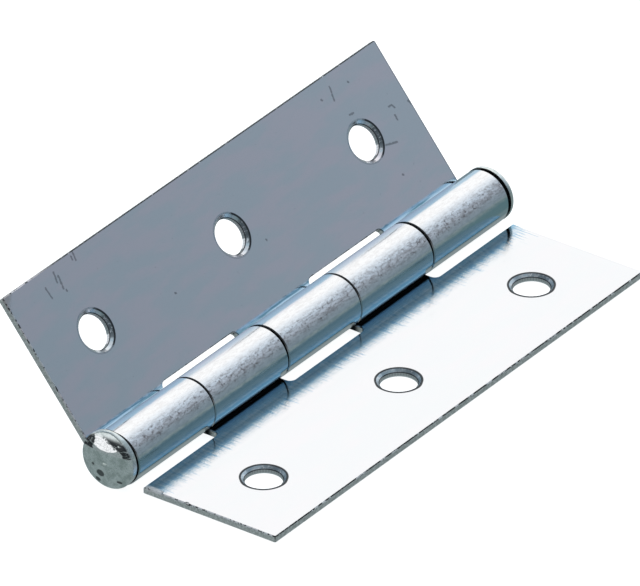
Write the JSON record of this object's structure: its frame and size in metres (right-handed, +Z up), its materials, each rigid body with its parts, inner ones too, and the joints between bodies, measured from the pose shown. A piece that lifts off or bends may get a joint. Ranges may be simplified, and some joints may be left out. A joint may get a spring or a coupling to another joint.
{
  "type": "narrow butt hinge",
  "caption": "Narrow rolled steel butt hinge: two thin rectangular leaves with countersunk screw holes, interleaved knuckles and a riveted pin.",
  "frame": {"origin": "centre of the flat leaf's middle screw hole, on the leaf's back face", "axes": "+Y along the pin towards its riveted far head, +X towards the flat leaf's outer edge, +Z up from its back to its countersunk face"},
  "size_m": [0.0436, 0.0847, 0.0215],
  "materials": {
    "leaf_zinc": "bright blue zinc plating, slightly streaked",
    "pin_zinc": "duller zinc plating on the pressed heads"
  },
  "bodies": {
    "flat_leaf": {"two_knuckle_leaf": "leaf_zinc"},
    "raised_leaf": {"three_knuckle_leaf": "leaf_zinc", "hinge_pin": "pin_zinc"}
  },
  "joints": [
    {"name": "leaf_swing", "type": "hinge", "parent": "flat_leaf", "child": "raised_leaf", "pos_m": [-0.0153, 0, 0.00384], "axis": [0, 1, 0], "range_deg": [-140, 140]}
  ]
}
